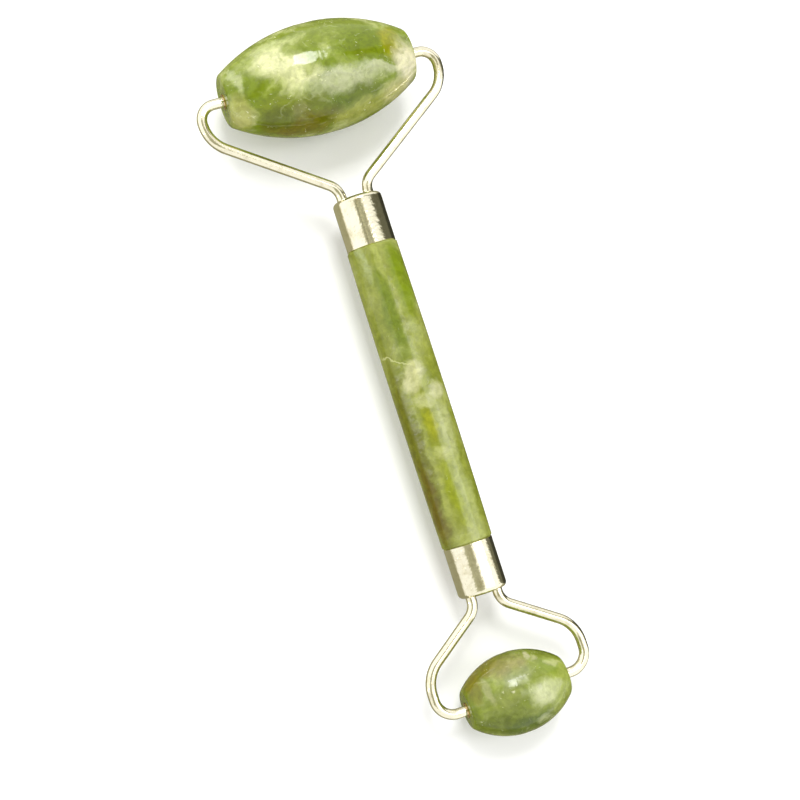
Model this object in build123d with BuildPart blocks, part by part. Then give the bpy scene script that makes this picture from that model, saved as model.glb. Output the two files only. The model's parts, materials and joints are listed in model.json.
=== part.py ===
from build123d import *
from dataclasses import dataclass
from math import asin, cos, hypot, radians, sin, tan
import os

os.makedirs("parts", exist_ok=True)

# A double-ended jade face roller, lying on a table on its two stones. Millimetres.
# +X runs along both axles, +Y along the handle towards the large roller, and +Z is up.
# The origin is on the table, under the middle of the object.

# The jade rod between the ferrules, and its tenons inside them
handle_length = 62.0  # the jade that shows
handle_end_d = 10.4
handle_middle_d = 10.8  # a slight swell for the grip
seam_chamfer = 0.2  # on the jade, where a ferrule meets it

# Ferrules: deep-drawn cups, the same at both ends
ferrule_d = 10.1
ferrule_length = 10.5
ferrule_wall = 0.5
ferrule_corner_r = 1.0
mouth_chamfer = 0.2

# Forks: one round wire each, with a hairpin inside the ferrule
wire_d = 2.1
leg_angle = 35.0  # of a straight leg from the axle's direction, in degrees
neck_length = 2.7  # from the ferrule's end to the corner that the leg starts from
neck_bend_r = 3.8
leg_hole_margin = 0.1  # flat metal round the outside of a leg's hole in the ferrule's end
hairpin_depth = 4.7  # from the ferrule's end to the hairpin's cross piece
hairpin_flat = 1.5  # straight length of that cross piece
stub_length = 5.8  # of each axle stub, inside its bush
stub_chamfer = 0.25

# Bushes: brass sleeves in the ends of a stone's bore
bush_wall = 0.45
bush_length = 7.0
bush_stand_out = 0.15  # how far a bush stands proud of the stone

# Fits, all radial or face to face
axle_clearance = 0.05  # between an axle stub and its bush
wire_hole_clearance = 0.05  # between a leg and its hole in the ferrule
glue_gap = 0.02  # film of adhesive between glued pieces
resin_floor = 0.5  # resin between the hairpin and the tenon

# The legs leave the ferrule as far apart as the flat of its end allows
leg_inset = ferrule_corner_r + leg_hole_margin + wire_hole_clearance + wire_d / 2
leg_spacing = ferrule_d - 2 * leg_inset


@dataclass
class RollerEnd:
    """What differs between the large and the small end of the tool."""

    name: str
    roller_length: float
    roller_d: float  # at the middle of the barrel
    land_length: float  # of the narrow cylindrical land round the middle, which it rests on
    end_face_d: float  # of the stone's flat end faces
    rim_r: float  # rounding of the rim round an end face
    side_gap: float  # from an end face to the wire's centre line at its widest
    axle_bend_r: float  # where the axle stub turns into the shoulder
    shoulder_bend_r: float  # where the shoulder turns into the straight leg
    shoulder_flat: float  # straight wire between those two bends

    @property
    def flank_r(self):
        """Radius of the one circle, centred on the mid-plane, that both flanks lie on."""
        land_x, land_y = self.land_length / 2, self.roller_d / 2
        end_x, end_y = self.roller_length / 2, self.end_face_d / 2
        centre_y = (land_x**2 + land_y**2 - end_x**2 - end_y**2) / 2 / (land_y - end_y)
        return hypot(land_x, land_y - centre_y)

    @property
    def half_width(self):
        return self.roller_length / 2 + self.side_gap

    @property
    def shoulder_drop(self):
        """From the axle to the corner between the shoulder and the straight leg."""
        bend_setback = self.shoulder_bend_r * tan(radians(90 - leg_angle) / 2)
        return self.axle_bend_r + self.shoulder_flat + bend_setback

    @property
    def neck_corner(self):
        """From the axle to the corner between the straight leg and the neck."""
        leg_run = self.half_width - leg_spacing / 2
        return self.shoulder_drop + leg_run * tan(radians(leg_angle))

    @property
    def reach(self):
        """From the axle to the ferrule's end."""
        return self.neck_corner + neck_length


large = RollerEnd(
    name="large",
    roller_length=39.5,
    roller_d=22.3,
    land_length=4.0,
    end_face_d=10.3,
    rim_r=1.2,
    side_gap=5.4,
    axle_bend_r=3.2,
    shoulder_bend_r=7.0,
    shoulder_flat=0.3,
)
small = RollerEnd(
    name="small",
    roller_length=21.3,
    roller_d=16.3,
    land_length=2.4,
    end_face_d=7.6,
    rim_r=1.0,
    side_gap=5.65,
    axle_bend_r=3.9,
    shoulder_bend_r=7.0,
    shoulder_flat=1.2,
)

# The plane of the tool: level across, and tipped so that both stones touch the table
axle_spacing = large.reach + small.reach + 2 * ferrule_length + handle_length
tip_angle = asin((large.roller_d - small.roller_d) / 2 / axle_spacing)
across = Vector(1, 0, 0)
along = Vector(0, cos(tip_angle), sin(tip_angle))
upward = across.cross(along)
y_span = axle_spacing * cos(tip_angle) + (large.roller_d + small.roller_d) / 2
large_axle = Vector(0, (y_span - large.roller_d) / 2, large.roller_d / 2)
small_axle = large_axle - along * axle_spacing
handle_centre = large_axle - along * (large.reach + ferrule_length + handle_length / 2)

# On each end's plane, X runs across the tool and Y points away from the handle
end_planes = {
    "large": Plane(origin=large_axle, x_dir=across, z_dir=upward),
    "small": Plane(origin=small_axle, x_dir=-across, z_dir=upward),
}

bush_bore_r = wire_d / 2 + axle_clearance
bush_r = bush_bore_r + bush_wall
cup_bore_r = ferrule_d / 2 - ferrule_wall
tenon_r = cup_bore_r - glue_gap
tenon_length = ferrule_length - hairpin_depth - wire_d / 2 - resin_floor


def plane_across_handle(end, distance):
    """A plane square to the handle, at this distance from the end's axle, facing the axle."""
    end_plane = end_planes[end.name]
    origin = end_plane.from_local_coords(Vector(0, -distance, 0))
    return Plane(origin=origin, x_dir=end_plane.x_dir, z_dir=end_plane.y_dir)


def bent_wire(end, diameter):
    """The fork's wire from one axle stub, round the hairpin, to the other."""
    stub_x = end.roller_length / 2 + bush_stand_out - stub_length
    leg_x = leg_spacing / 2
    half = [
        (stub_x, 0),
        (end.half_width, 0),
        (end.half_width, -end.shoulder_drop),
        (leg_x, -end.neck_corner),
        (leg_x, -end.reach - hairpin_depth),
    ]
    other_half = [(-x, y) for x, y in reversed(half)]
    hairpin_bend_r = (leg_spacing - hairpin_flat) / 2
    bends = [end.axle_bend_r, end.shoulder_bend_r, neck_bend_r, hairpin_bend_r]
    with BuildPart() as wire:
        with BuildLine(end_planes[end.name]) as route:
            FilletPolyline(*half, *other_half, radius=bends + bends[::-1])
        with BuildSketch(Plane(origin=route.line @ 0, z_dir=route.line % 0)):
            Circle(diameter / 2)
        sweep()
    return wire.part


def make_fork(end):
    with BuildPart() as fork:
        add(bent_wire(end, wire_d))
        stub_faces = fork.faces().filter_by(GeomType.PLANE)
        chamfer(stub_faces.edges(), stub_chamfer)
    finish(fork, f"{end.name}_fork")


def make_ferrule(end):
    with BuildPart() as ferrule:
        with BuildSketch(plane_across_handle(end, end.reach + ferrule_length)):
            Circle(ferrule_d / 2)
        extrude(amount=ferrule_length)
        by_distance = Axis(end_planes[end.name].origin, end_planes[end.name].y_dir)
        closed_end = ferrule.faces().sort_by(by_distance)[-1]
        fillet(closed_end.edges(), ferrule_corner_r)
        mouth = ferrule.faces().sort_by(by_distance)[0]
        offset(amount=-ferrule_wall, openings=mouth)
        rim = ferrule.edges().filter_by(GeomType.CIRCLE).group_by(by_distance)[0]
        chamfer(rim.sort_by(SortBy.RADIUS)[-1], mouth_chamfer)
        with BuildSketch(plane_across_handle(end, end.reach)):
            with GridLocations(leg_spacing, 0, 2, 1):
                Circle(wire_d / 2 + wire_hole_clearance)
        extrude(amount=-ferrule_corner_r, mode=Mode.SUBTRACT)
    finish(ferrule, f"{end.name}_ferrule")


def make_resin(end):
    """The plug of set adhesive round the hairpin, between the cup's end and the tenon."""
    inner_corner_r = ferrule_corner_r - ferrule_wall
    plug_start = ferrule_length - tenon_length - glue_gap
    plug_length = plug_start - ferrule_wall - glue_gap
    with BuildPart() as resin:
        with BuildSketch(plane_across_handle(end, end.reach + plug_start)):
            Circle(cup_bore_r - glue_gap)
        extrude(amount=plug_length)
        by_distance = Axis(end_planes[end.name].origin, end_planes[end.name].y_dir)
        fillet(resin.faces().sort_by(by_distance)[-1].edges(), inner_corner_r)
        add(bent_wire(end, wire_d + 2 * glue_gap), mode=Mode.SUBTRACT)
    finish(resin, f"{end.name}_ferrule_resin")


def make_roller(end):
    """A barrel-shaped stone, turned about its axle and drilled right through."""
    half_length = end.roller_length / 2
    half_land = end.land_length / 2
    land_r = end.roller_d / 2
    end_face_r = end.end_face_d / 2
    end_plane = end_planes[end.name]
    with BuildPart() as roller:
        with BuildSketch(end_plane):
            with BuildLine():
                for side in (-1, 1):
                    face_edge = (side * half_length, end_face_r)
                    land_edge = (side * half_land, land_r)
                    RadiusArc(face_edge, land_edge, -side * end.flank_r)
                    Line((side * half_length, 0), face_edge)
                Line((-half_land, land_r), (half_land, land_r))
                Line((-half_length, 0), (half_length, 0))
            make_face()
        revolve(axis=Axis(end_plane.origin, end_plane.x_dir))
        fillet(roller.faces().filter_by(GeomType.PLANE).edges(), end.rim_r)
        with BuildSketch(Plane(origin=end_plane.origin, z_dir=end_plane.x_dir)):
            Circle(bush_r + glue_gap)
        extrude(amount=half_length, both=True, mode=Mode.SUBTRACT)
    finish(roller, f"{end.name}_roller")


def make_bushes(end):
    for side_name, side in (("left", -1), ("right", 1)):
        outer_end_x = side * (end.roller_length / 2 + bush_stand_out)
        origin = end_planes[end.name].origin + across * outer_end_x
        with BuildPart() as bush:
            with BuildSketch(Plane(origin=origin, z_dir=across * -side)):
                Circle(bush_r)
                Circle(bush_bore_r, mode=Mode.SUBTRACT)
            extrude(amount=bush_length)
        finish(bush, f"{end.name}_bush_{side_name}")


def make_handle():
    """The jade rod, turned about its own axis, with a tenon at each end."""
    half_length = handle_length / 2
    end_r = handle_end_d / 2
    swell_end = half_length - seam_chamfer
    tenon_end = half_length + tenon_length
    with BuildPart() as handle:
        with BuildSketch(Plane(origin=handle_centre, x_dir=across, z_dir=upward)):
            with BuildLine():
                ThreePointArc((end_r, -swell_end), (handle_middle_d / 2, 0), (end_r, swell_end))
                for sign in (-1, 1):
                    Polyline(
                        (end_r, sign * swell_end),
                        (end_r - seam_chamfer, sign * half_length),
                        (tenon_r, sign * half_length),
                        (tenon_r, sign * tenon_end),
                        (0, sign * tenon_end),
                    )
                Line((0, -tenon_end), (0, tenon_end))
            make_face()
        revolve(axis=Axis(handle_centre, along))
    finish(handle, "handle")


def finish(builder, label):
    """Label a finished piece and write it out."""
    builder.part.label = label
    export_step(builder.part, f"parts/{label}.step")


make_handle()
for roller_end in (large, small):
    make_ferrule(roller_end)
    make_fork(roller_end)
    make_resin(roller_end)
    make_roller(roller_end)
    make_bushes(roller_end)
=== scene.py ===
import json
from math import cos, radians, sin

import bpy
from mathutils import Matrix, Vector


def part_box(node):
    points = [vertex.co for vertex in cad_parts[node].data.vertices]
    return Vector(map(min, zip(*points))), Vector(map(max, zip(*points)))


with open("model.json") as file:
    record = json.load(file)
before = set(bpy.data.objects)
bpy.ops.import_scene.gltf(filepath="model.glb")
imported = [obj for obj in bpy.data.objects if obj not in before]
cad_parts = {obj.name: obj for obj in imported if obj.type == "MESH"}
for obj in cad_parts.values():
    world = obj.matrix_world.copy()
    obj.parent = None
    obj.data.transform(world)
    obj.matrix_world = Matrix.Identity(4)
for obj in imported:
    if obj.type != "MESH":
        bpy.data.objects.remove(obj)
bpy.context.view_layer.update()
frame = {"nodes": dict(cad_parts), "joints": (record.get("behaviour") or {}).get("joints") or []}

# A double-ended jade face roller, lying on a pale floor on its two stones.
# Lengths are in metres. +X runs along the axles, +Y towards the large roller, +Z up.

mm = 0.001
white = (1, 1, 1, 1)

joints = {joint["name"]: joint for joint in frame["joints"]}
large_axle = Vector(joints["large_roller_spin"]["pos_m"])
small_axle = Vector(joints["small_roller_spin"]["pos_m"])
across = Vector(joints["large_roller_spin"]["axis"])
along = (large_axle - small_axle).normalized()
upward = across.cross(along)


def middle(node):
    low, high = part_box(node)
    return (low + high) / 2


def srgb(red, green, blue):
    """A colour given as on a screen, 0 to 255, as the linear colour that a shader takes."""
    linear = []
    for value in (red, green, blue):
        value /= 255
        linear.append(value / 12.92 if value <= 0.04045 else ((value + 0.055) / 1.055) ** 2.4)
    return (*linear, 1.0)


class Shader:
    """A node tree being built. add returns its new node, and the other calls a socket."""

    def __init__(self, owner):
        owner.use_nodes = True
        self.tree = owner.node_tree
        self.tree.nodes.clear()

    def add(self, kind, inputs, **settings):
        node = self.tree.nodes.new("ShaderNode" + kind)
        for name, value in settings.items():
            setattr(node, name, value)
        for key, value in inputs.items():
            if isinstance(value, bpy.types.NodeSocket):
                self.tree.links.new(value, node.inputs[key])
            else:
                node.inputs[key].default_value = value
        return node

    def math(self, operation, a, b=0.0):
        return self.add("Math", {0: a, 1: b}, operation=operation).outputs[0]

    def vector(self, operation, a, b=(0, 0, 0), scale=1.0):
        inputs = {0: a, "Scale": scale} if operation == "SCALE" else {0: a, 1: b}
        node = self.add("VectorMath", inputs, operation=operation)
        return node.outputs["Value" if operation in ("LENGTH", "DOT_PRODUCT") else "Vector"]

    def mix(self, factor, a, b, blend="MIX"):
        # The Mix node's colours are its inputs 6 and 7 and its output 2
        node = self.add("Mix", {0: factor, 6: a, 7: b}, data_type="RGBA", blend_type=blend)
        return node.outputs[2]

    def ease(self, value, start, end, low=0.0, high=1.0):
        """low up to start, high from end on, and a smooth step between them, in either order."""
        inputs = {"Value": value}
        inputs |= {"From Min": start, "From Max": end, "To Min": low, "To Max": high}
        return self.add("MapRange", inputs, interpolation_type="SMOOTHSTEP").outputs["Result"]

    def noise(self, place, scale, detail=3.0, roughness=0.5, output="Fac"):
        inputs = {"Vector": place, "Scale": scale, "Detail": detail, "Roughness": roughness}
        return self.add("TexNoise", inputs).outputs[output]

    def ramp(self, value, stops):
        """The colour at value, between stops that are each (position, colour)."""
        node = self.add("ValToRGB", {"Fac": value})
        elements = node.color_ramp.elements
        while len(elements) < len(stops):
            elements.new(0.5)
        for element, (position, colour) in zip(elements, stops):
            element.position = position
            element.color = colour
        return node.outputs["Color"]

    def place(self, centre=(0, 0, 0)):
        """Where a point is, in millimetres from this centre."""
        spot = self.add("TexCoord", {}).outputs["Object"]
        return self.vector("SCALE", self.vector("SUBTRACT", spot, centre), scale=1 / mm)

    def surface(self, shader):
        self.add("OutputMaterial", {"Surface": shader.outputs[0]})


def dress(node, material):
    """Give a CAD node its material. Its mesh and place stay as they are."""
    frame["nodes"][node].material_slots[0].material = material


# Jade

haze = 0.025  # what the polish adds to every colour by reflecting the room
lit = (0.77, 0.745, 0.75)  # the stone's own colour over what it shows in this light
darkest = 0.005  # of the stone's own colour
crack_colour = srgb(206, 210, 158)
fleck_colour = srgb(222, 224, 180)


def stone(red, green, blue):
    """The stone's own colour, for a screen colour that it has in the light of the scene."""
    shown = srgb(red, green, blue)
    return (*(max(value - haze, darkest) * share for value, share in zip(shown, lit)), 1.0)


def jade(name, centre, base, marks, veins, drift, swirl, gloss, flecks, cracks):
    """Polished jade. Every length is in millimetres, from the centre of the piece.

    base is a ramp through the cloudy body. marks are soft patches laid over it in turn, each
    (colour, centre, radii, strength). veins are thin sheets of healed stone, each (colour,
    normal, offset, half width, centre, radii, strength). drift moves all the noise, so that no
    two pieces are alike, and swirl is how far the noise pulls the patches about. gloss is about
    the roughness, and flecks and cracks are how plainly those show, from 0 to 1.
    """
    material = bpy.data.materials.new(name)
    shader = Shader(material)
    place = shader.place(centre)
    field = shader.vector("ADD", place, drift)

    # The pull: broad wandering, and a little raggedness that frays the patches' edges
    average = (0.5, 0.5, 0.5)  # of coloured noise
    wander = shader.vector("SUBTRACT", shader.noise(field, 0.20, 3, 0.4, "Color"), average)
    ragged = shader.vector("SUBTRACT", shader.noise(field, 0.9, 3, 0.6, "Color"), average)
    pull = shader.vector("ADD", wander, shader.vector("SCALE", ragged, scale=0.35))
    bent = shader.vector("ADD", place, shader.vector("SCALE", pull, scale=swirl))
    bent_field = shader.vector("ADD", bent, drift)

    # The cloudy body, and the patches, each torn a little by noise
    colour = shader.ramp(shader.noise(bent_field, 0.13, 4, 0.55), base)
    torn = shader.ease(shader.noise(bent_field, 0.42, 4, 0.6), 0.28, 0.55, 0.55, 1.0)
    for mark_colour, mark_centre, radii, strength in marks:
        offset = shader.vector("DIVIDE", shader.vector("SUBTRACT", bent, mark_centre), radii)
        cover = shader.ease(shader.vector("LENGTH", offset), 1.45, 0.50, 0.0, strength)
        colour = shader.mix(shader.math("MULTIPLY", cover, torn), colour, mark_colour)

    # Fine cloud, which darkens and lightens everything a little
    cloud = shader.noise(bent_field, 0.8, 4, 0.6)
    shade = shader.ease(cloud, 0.30, 0.70, 0.84, 1.14)
    grey = shader.add("CombineColor", {0: shade, 1: shade, 2: shade}).outputs[0]
    colour = shader.mix(1.0, colour, grey, "MULTIPLY")

    for vein_colour, normal, sheet_offset, half_width, vein_centre, radii, strength in veins:
        height = shader.math("SUBTRACT", shader.vector("DOT_PRODUCT", bent, normal), sheet_offset)
        line = shader.ease(shader.math("ABSOLUTE", height), half_width * 1.6, half_width * 0.4)
        offset = shader.vector("DIVIDE", shader.vector("SUBTRACT", place, vein_centre), radii)
        cover = shader.ease(shader.vector("LENGTH", offset), 1.2, 0.8, 0.0, strength)
        colour = shader.mix(shader.math("MULTIPLY", line, cover), colour, vein_colour)

    # Hair cracks, healed with paler stone, in some places only
    cells = shader.add(
        "TexVoronoi", {"Vector": bent_field, "Scale": 0.15}, feature="DISTANCE_TO_EDGE"
    ).outputs["Distance"]
    crack = shader.ease(cells, 0.050, 0.004, 0.0, cracks)
    some = shader.ease(shader.noise(field, 0.30, 2), 0.52, 0.66)
    colour = shader.mix(shader.math("MULTIPLY", crack, some), colour, crack_colour)

    # White flecks, in crowds
    fleck = shader.ease(shader.noise(bent_field, 1.25, 3, 0.65), 0.62, 0.72, 0.0, flecks)
    crowd = shader.ease(shader.noise(field, 0.22, 2), 0.46, 0.60)
    colour = shader.mix(shader.math("MULTIPLY", fleck, crowd), colour, fleck_colour)

    # The polish: glassy, uneven with the cloud, and very slightly rippled
    roughness = shader.ease(cloud, 0.25, 0.75, gloss * 0.8, gloss * 1.3)
    ripple = shader.noise(field, 0.35, 2)
    bump = shader.add("Bump", {"Height": ripple, "Strength": 0.12, "Distance": 0.8 * mm})
    shader.surface(
        shader.add(
            "BsdfPrincipled",
            {
                "Base Color": colour,
                "Roughness": roughness,
                "Normal": bump.outputs[0],
                "IOR": 1.60,
                "Specular IOR Level": 0.33,
                "Subsurface Weight": 0.2,
                "Subsurface Radius": (0.9, 1.0, 0.3),
                "Subsurface Scale": 2 * mm,
            },
        )
    )
    return material


olive = stone(132, 146, 38)
dark_olive = stone(120, 132, 38)
deep_green = stone(112, 132, 40)
mid_green = stone(150, 166, 78)
leaf_green = stone(128, 148, 48)
pale_green = stone(200, 210, 140)
milky = stone(230, 235, 178)
misty = stone(190, 198, 152)
cream = stone(230, 228, 188)
brown = stone(127, 124, 40)

jade_large = jade(
    "jade_large",
    middle("large_roller"),
    [(0.32, dark_olive), (0.44, leaf_green), (0.52, mid_green), (0.62, pale_green), (0.72, milky)],
    [
        # The far side: green, with mustard at the right end
        (stone(136, 152, 66), (2.9, 6.5, 9), (10, 4, 5), 0.9),
        (stone(120, 138, 38), (9, 2.5, 9.5), (5, 3.5, 4), 0.9),
        (stone(158, 158, 48), (14.9, 2, 7.5), (2.4, 3, 4), 0.85),
        (mid_green, (-14, 5, 6.5), (3, 3, 4), 0.8),
        # The dark band along the near side, from the left end to a wedge at the right
        (olive, (-11.6, -5.5, 7.4), (5, 2.6, 4), 1.0),
        (leaf_green, (-15, -1, 7.7), (1.8, 3.5, 4), 0.9),
        (dark_olive, (-3.7, -7.5, 8), (6, 2.2, 4), 1.0),
        (deep_green, (4.5, -7.2, 8.2), (6.5, 2.1, 4), 1.0),
        (leaf_green, (9.8, -5.5, 8), (4.5, 1.8, 4), 1.0),
        # Brown below the band, and a dark streak in the wedge
        (brown, (-4.2, -9.8, 4.6), (7, 2, 4), 0.9),
        (stone(124, 119, 24), (-9.5, -9.2, 3.2), (6, 1.4, 2.6), 0.95),
        (stone(108, 118, 20), (-11.5, -7.4, 5.2), (3.6, 2.2, 3), 0.95),
        (stone(112, 118, 22), (-0.6, -9.4, 5.8), (3.8, 1.6, 3), 0.9),
        (stone(110, 126, 16), (6.0, -6.9, 8.1), (4.6, 1.5, 3), 1.0),
        (stone(152, 153, 96), (-7, -7.3, 7.5), (1.8, 1.1, 3), 0.6),
        # The yellower near edge, and the yellow and grey left end
        (stone(172, 180, 92), (6, -9.8, 4.4), (7, 2, 4), 0.9),
        (stone(190, 192, 110), (-18, -4.6, 4), (2.2, 3.2, 5), 0.75),
        (stone(206, 216, 160), (-17.4, 1.4, 6.4), (0.9, 2.6, 3), 0.7),
        # The milky cloud at the top left, with two green gaps
        (pale_green, (-8.5, 6.3, 7.6), (5, 1.8, 4), 0.9),
        (milky, (-9.9, 2.5, 9.4), (4.5, 3.2, 5), 1.0),
        (milky, (-5.5, -1.5, 10.5), (4, 2.4, 4), 1.0),
        (mid_green, (-6.2, 4.4, 9.6), (1.6, 1.4, 3), 0.8),
        (mid_green, (-4.4, -0.6, 10.7), (1.1, 1.5, 3), 0.6),
        # The misty lens that tapers to the right, and the cream right end
        (misty, (3.2, -4.2, 10), (8, 2.1, 4), 1.0),
        (misty, (11.5, -3.3, 8.5), (4, 0.9, 3), 0.95),
        (cream, (17, -3.5, 5.7), (2.8, 4.5, 6), 1.0),
        (stone(206, 206, 140), (14, -7.8, 4), (4, 2, 4), 0.9),
    ],
    [],
    drift=(3.0, 11.0, 7.0),
    swirl=4.5,
    gloss=0.10,
    flecks=0.75,
    cracks=0.14,
)
jade_small = jade(
    "jade_small",
    middle("small_roller"),
    [
        (0.32, stone(112, 126, 38)),
        (0.46, stone(130, 146, 54)),
        (0.60, stone(156, 170, 88)),
        (0.76, stone(190, 200, 132)),
    ],
    [
        # Brown at the far left, and grey-green across the top
        (stone(140, 134, 58), (-5.3, 7, 1.5), (5, 2.0, 4), 0.8),
        (stone(136, 128, 52), (-8.8, 4.5, 2.5), (1.6, 3, 4), 0.8),
        (stone(164, 162, 106), (-1, 6, 5.2), (3.6, 1.8, 4), 0.9),
        (stone(160, 170, 118), (0, 3.5, 7.2), (3, 2, 4), 0.8),
        (stone(150, 160, 98), (-3.5, 0.5, 7.6), (3, 2, 4), 0.7),
        # Dark green along the near side
        (stone(110, 124, 34), (-5, -4, 6), (6, 3, 5), 1.0),
        (stone(99, 117, 10), (0, -6.2, 5.3), (6, 2, 4), 1.0),
        # The lighter right end, and small spots at the left end
        (stone(166, 180, 90), (8, 0, 5.6), (2.8, 4.5, 5), 0.95),
        (stone(138, 158, 66), (6, 3.2, 6), (2, 1.6, 3), 0.8),
        (stone(134, 138, 62), (-8.8, 2.6, 4.4), (0.9, 1.6, 3), 0.8),
        (stone(172, 176, 124), (-6.8, 2.8, 5.6), (0.8, 3.0, 3), 0.7),
        # Pale streaks, a pale cloud, and one white dot that is a painted highlight, the glint of a
        # small light overhead
        (stone(204, 204, 158), (3.4, 6.4, 4.2), (1.0, 0.6, 1.5), 0.85),
        (stone(204, 204, 158), (4.6, 5.3, 5.3), (1.0, 0.6, 1.5), 0.85),
        (stone(190, 198, 132), (7.6, 3.5, 5), (1.8, 0.5, 2), 0.8),
        (stone(208, 216, 166), (3.4, -1, 7.7), (3.2, 2.0, 3), 1.0),
        (stone(200, 210, 150), (6, -0.2, 6.8), (1.8, 1.2, 3), 0.8),
        (stone(186, 196, 140), (3.1, -6.1, 5), (1.6, 0.9, 2), 0.7),
        # Painted highlight: a white dot where a small light overhead would glint on the polish
        (stone(240, 242, 206), (-1.8, 0.8, 8.1), (0.28, 0.28, 0.6), 0.9),
    ],
    [],
    drift=(21.0, 4.0, 13.0),
    swirl=3.6,
    gloss=0.15,
    flecks=0.4,
    cracks=0.15,
)
jade_handle = jade(
    "jade_handle",
    middle("handle"),
    [
        (0.30, stone(128, 140, 58)),
        (0.46, stone(150, 160, 74)),
        (0.60, stone(166, 175, 98)),
        (0.78, stone(188, 197, 134)),
    ],
    [
        # The half next to the large stone: two green strips and a few pale ones
        (stone(120, 139, 62), (-1.5, 16, 5.0), (1.8, 10, 4), 0.85),
        (stone(128, 150, 42), (2.8, 23, 4.6), (1.8, 8, 3), 0.85),
        (stone(178, 190, 132), (-3.3, 27.8, 4.2), (0.8, 4, 2), 0.75),
        (stone(180, 190, 112), (-0.5, 27.4, 5.3), (0.8, 4, 2), 0.65),
        (stone(180, 190, 126), (2.3, 12.4, 4.8), (1.3, 2.6, 3), 0.6),
        # The other half: brown down the left side, pale down the right, olive between
        (stone(118, 121, 16), (-4.8, -12, 2.3), (1.7, 19, 3), 0.95),
        (stone(166, 174, 92), (-2.9, -14, 4.4), (0.5, 16, 2), 0.6),
        (stone(114, 103, 14), (-5.0, -22, 2.0), (1.3, 8, 3), 0.9),
        (stone(182, 190, 128), (1.9, -8, 5.0), (1.5, 6, 3), 0.85),
        (stone(176, 186, 112), (1.9, -22, 5.0), (1.4, 9, 3), 0.75),
        (stone(164, 170, 58), (-1.3, -6.8, 5.1), (1.2, 3.4, 3), 0.9),
        (stone(152, 164, 58), (-0.8, -20.2, 5.2), (1.3, 6, 3), 0.9),
        # Pale clouds, most of them at the middle
        (stone(190, 196, 130), (-0.5, -12.8, 5.3), (1.0, 1.6, 2), 0.7),
        (stone(196, 202, 140), (-0.8, -1.6, 5.2), (1.8, 1.4, 3), 0.8),
        (stone(202, 206, 150), (-0.9, 4.6, 5.1), (1.7, 2.2, 3), 0.95),
        (stone(208, 211, 156), (-1.9, 2.6, 4.9), (1.7, 2.2, 3), 0.95),
        (stone(206, 210, 158), (2.3, -0.6, 4.8), (1.2, 1.5, 3), 0.95),
    ],
    [(srgb(212, 214, 150), (0.58, 0.815, 0), 4.05, 0.10, (-3.4, 7.4, 3.4), (3.2, 3.2, 3.6), 0.45)],
    drift=(40.0, 17.0, 2.0),
    swirl=3.4,
    gloss=0.10,
    flecks=0.12,
    cracks=0.0,
)

# Metal


def plated(name, bright, dull, speckle):
    """Bright metal with faint orange peel, stains and fine pits. speckle, from 0 to 1, is how
    plainly the pits and the orange peel show."""
    material = bpy.data.materials.new(name)
    shader = Shader(material)
    place = shader.place()
    stain = shader.ease(shader.noise(place, 0.35, 5, 0.6), 0.48, 0.75)
    grain = shader.noise(place, 2.2, 3, 0.65)
    colour = shader.mix(shader.math("MULTIPLY", stain, 0.6), bright, dull)
    pits = shader.ease(grain, 0.60, 0.72)
    colour = shader.mix(shader.math("MULTIPLY", pits, speckle), colour, dull)
    dulled = shader.math("MULTIPLY", stain, 0.08)
    roughness = shader.math("ADD", shader.ease(grain, 0.35, 0.75, 0.06, 0.16), dulled)
    peel = shader.noise(place, 1.3, 2.5, 0.55)
    relief = {"Height": peel, "Strength": 0.08 + speckle / 3, "Distance": 0.15 * mm}
    bump = shader.add("Bump", relief)
    shader.surface(
        shader.add(
            "BsdfPrincipled",
            {
                "Base Color": colour,
                "Metallic": 1.0,
                "Roughness": roughness,
                "Normal": bump.outputs[0],
            },
        )
    )
    return material


def resin_look(name):
    """Set adhesive: amber, with trapped bubbles."""
    material = bpy.data.materials.new(name)
    shader = Shader(material)
    place = shader.place()
    bubbles = shader.ease(shader.noise(place, 2.4, 2), 0.62, 0.70)
    murk = shader.noise(place, 0.6, 4)
    colour = shader.ramp(murk, [(0.35, srgb(206, 190, 140)), (0.65, srgb(228, 216, 176))])
    colour = shader.mix(bubbles, colour, srgb(240, 236, 218))
    bump = shader.add("Bump", {"Height": murk, "Strength": 0.2, "Distance": 0.2 * mm})
    shader.surface(
        shader.add(
            "BsdfPrincipled",
            {
                "Base Color": colour,
                "Roughness": shader.ease(murk, 0.3, 0.7, 0.15, 0.35),
                "Normal": bump.outputs[0],
                "Subsurface Weight": 0.2,
                "Subsurface Scale": 1 * mm,
            },
        )
    )
    return material


gold = (0.96, 0.91, 0.70, 1)
gold_dull = (0.60, 0.53, 0.30, 1)
brass = (0.62, 0.40, 0.11, 1)
brass_dull = (0.20, 0.11, 0.03, 1)
wire_metal = plated("wire_metal", gold, gold_dull, 0.15)
ferrule_metal = plated("ferrule_metal", gold, gold_dull, 0.55)
bush_brass = plated("bush_brass", brass, brass_dull, 0.6)
resin = resin_look("resin")

dress("handle", jade_handle)
dress("large_roller", jade_large)
dress("small_roller", jade_small)
for end in ("large", "small"):
    dress(f"{end}_fork", wire_metal)
    dress(f"{end}_ferrule", ferrule_metal)
    dress(f"{end}_ferrule_resin", resin)
    for side in ("left", "right"):
        dress(f"{end}_bush_{side}", bush_brass)

# Camera: above the tool, off to the left, and rolled so that the handle leans

camera_yaw = radians(14.25)
camera_pitch = radians(-1.52)
camera_roll = radians(-17.9)
camera_distance = 320.3 * mm
sensor_width = 36.0  # this and the focal length are in millimetres, as Blender has them
focal_length = 72.0
aim_right = -4.04 * mm  # from the handle's middle
aim_up = 0.11 * mm
nearest_seen = 10 * mm
farthest_seen = 20.0

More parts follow.
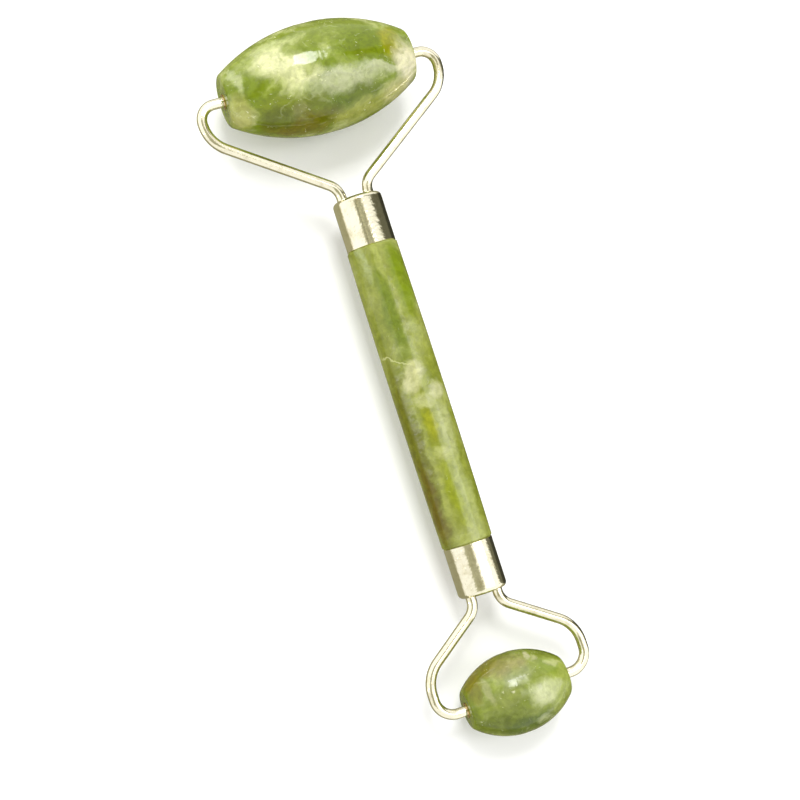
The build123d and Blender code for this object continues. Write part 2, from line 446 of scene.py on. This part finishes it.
back = (
    upward * cos(camera_yaw) * cos(camera_pitch)
    - across * sin(camera_yaw) * cos(camera_pitch)
    + along * sin(camera_pitch)
).normalized()
level_up = (along - back * along.dot(back)).normalized()
level_right = level_up.cross(back)
right = level_right * cos(camera_roll) + level_up * sin(camera_roll)
up = level_up * cos(camera_roll) - level_right * sin(camera_roll)

camera_data = bpy.data.cameras.new("camera")
camera_data.sensor_width = sensor_width
camera_data.lens = focal_length
camera_data.clip_start = nearest_seen
camera_data.clip_end = farthest_seen
camera = bpy.data.objects.new("camera", camera_data)
bpy.context.scene.collection.objects.link(camera)
aim = middle("handle") + level_right * aim_right + level_up * aim_up
camera.matrix_world = Matrix.Translation(aim + back * camera_distance) @ Matrix(
    (
        (right.x, up.x, back.x, 0),
        (right.y, up.y, back.y, 0),
        (right.z, up.z, back.z, 0),
        (0, 0, 0, 1),
    )
)
bpy.context.scene.camera = camera

# Floor

floor_size = 4.0
floor_drop = 0.02 * mm  # keeps the floor just clear of the stones that rest on it
floor_mesh = bpy.data.meshes.new("floor")
half = floor_size / 2
floor_mesh.from_pydata(
    [(-half, -half, 0), (half, -half, 0), (half, half, 0), (-half, half, 0)], [], [(0, 1, 2, 3)]
)
floor = bpy.data.objects.new("floor", floor_mesh)
bpy.context.scene.collection.objects.link(floor)
floor.location.z = -floor_drop
floor.visible_glossy = False
floor_material = bpy.data.materials.new("floor")
floor_shader = Shader(floor_material)
floor_shader.surface(
    floor_shader.add("BsdfPrincipled", {"Base Color": (0.95, 0.95, 0.95, 1), "Roughness": 0.8})
)
floor_mesh.materials.append(floor_material)

# Light: a soft dome and three soft boxes. The dome is what the bright metal mirrors. It is dim
# below the horizon, overhead where the camera hangs, and behind a flag on the east side.
# Directions are unit vectors, so east, north and height each run from -1 to 1.

backdrop = 0.92  # brightness of the bare background, which only the camera sees
dusk = (-0.36, -0.16)  # the heights between which the dome fades downwards
dusk_share = 0.32  # what is left of its light below them
strip_east = -0.27  # of the dim strip's middle line, overhead
strip_slant = 0.60  # how far that line leans east on its way north
flag_height = 0.40  # of the flag's top edge, due east
flag_slope = 1.8  # how fast that edge rises northwards
flag_share = 0.13  # what the flag lets through
warm = srgb(250, 246, 205)  # of the dome below the horizon
pale_yellow = srgb(252, 250, 215)  # of its dim parts

world = bpy.data.worlds.new("studio")
bpy.context.scene.world = world
sky = Shader(world)
direction = sky.add("TexCoord", {}).outputs["Generated"]
east, north, height = sky.add("SeparateXYZ", {0: direction}).outputs

# Brighter to the north-west and south-east than to the other two corners, dim below
lean = sky.math("MULTIPLY", east, north)
bright = sky.ease(lean, -0.10, 0.10, 1.22, 1.02)
dome = sky.math("MULTIPLY", bright, sky.ease(height, *dusk, dusk_share, 1.0))

# The other dim parts reach only a little to the north and south, clear of the wires' reflections
beside = sky.ease(sky.math("ABSOLUTE", north), 0.42, 0.26)

# A dim strip where the camera hangs, uneven as a real studio's clutter is
strip_line = sky.math("MULTIPLY", north, strip_slant)
strip = sky.math("SUBTRACT", sky.math("SUBTRACT", east, strip_east), strip_line)
strip = sky.ease(sky.math("ABSOLUTE", strip), 0.38, 0.22)
strip = sky.math("MULTIPLY", sky.math("MULTIPLY", strip, beside), sky.ease(height, 0.55, 0.70))
clutter = sky.ease(sky.noise(direction, 9.0, 3, 0.6), 0.35, 0.65, 0.24, 0.52)
dome = sky.math("MULTIPLY", dome, sky.ease(strip, 0.0, 1.0, 1.0, clutter))

# A dark flag on the east side
flag_top = sky.math("ADD", sky.math("MULTIPLY", north, flag_slope), flag_height)
flag = sky.ease(sky.math("SUBTRACT", height, flag_top), 0.12, -0.16)
flag = sky.math("MULTIPLY", sky.math("MULTIPLY", flag, beside), sky.ease(east, 0.20, 0.45))
dome = sky.math("MULTIPLY", dome, sky.ease(flag, 0.0, 1.0, 1.0, flag_share))

# Its colour
tint = sky.mix(sky.ease(height, *dusk), warm, white)
tint = sky.mix(sky.math("MAXIMUM", strip, flag), tint, pale_yellow)
light = sky.add("Background", {"Color": tint, "Strength": dome})
seen = sky.add("Background", {"Color": white, "Strength": backdrop})
is_camera = sky.add("LightPath", {}).outputs["Is Camera Ray"]
both = sky.add("MixShader", {0: is_camera, 1: light.outputs[0], 2: seen.outputs[0]})
sky.add("OutputWorld", {"Surface": both.outputs[0]})

box_distance = 1.2
tool_middle = Vector((0, 0, 10 * mm))


def soft_box(name, direction, size, power):
    """A soft box that faces the tool's middle from this direction. Metres and watts."""
    data = bpy.data.lights.new(name, "AREA")
    data.shape = "RECTANGLE"
    data.size, data.size_y = size
    data.energy = power
    lamp = bpy.data.objects.new(name, data)
    bpy.context.scene.collection.objects.link(lamp)
    toward = Vector(direction).normalized()
    lamp.location = tool_middle + toward * box_distance
    lamp.rotation_mode = "QUATERNION"
    lamp.rotation_quaternion = toward.to_track_quat("Z", "Y")
    lamp.visible_camera = False


soft_box("key", (0.07, 0.53, 0.84), (0.40, 0.46), 9.0)
soft_box("right", (0.46, -0.08, 0.88), (0.34, 0.9), 2.2)
soft_box("left", (-0.95, 0.0, 0.28), (0.05, 1.0), 0.5)

bpy.context.scene.view_settings.view_transform = "Standard"
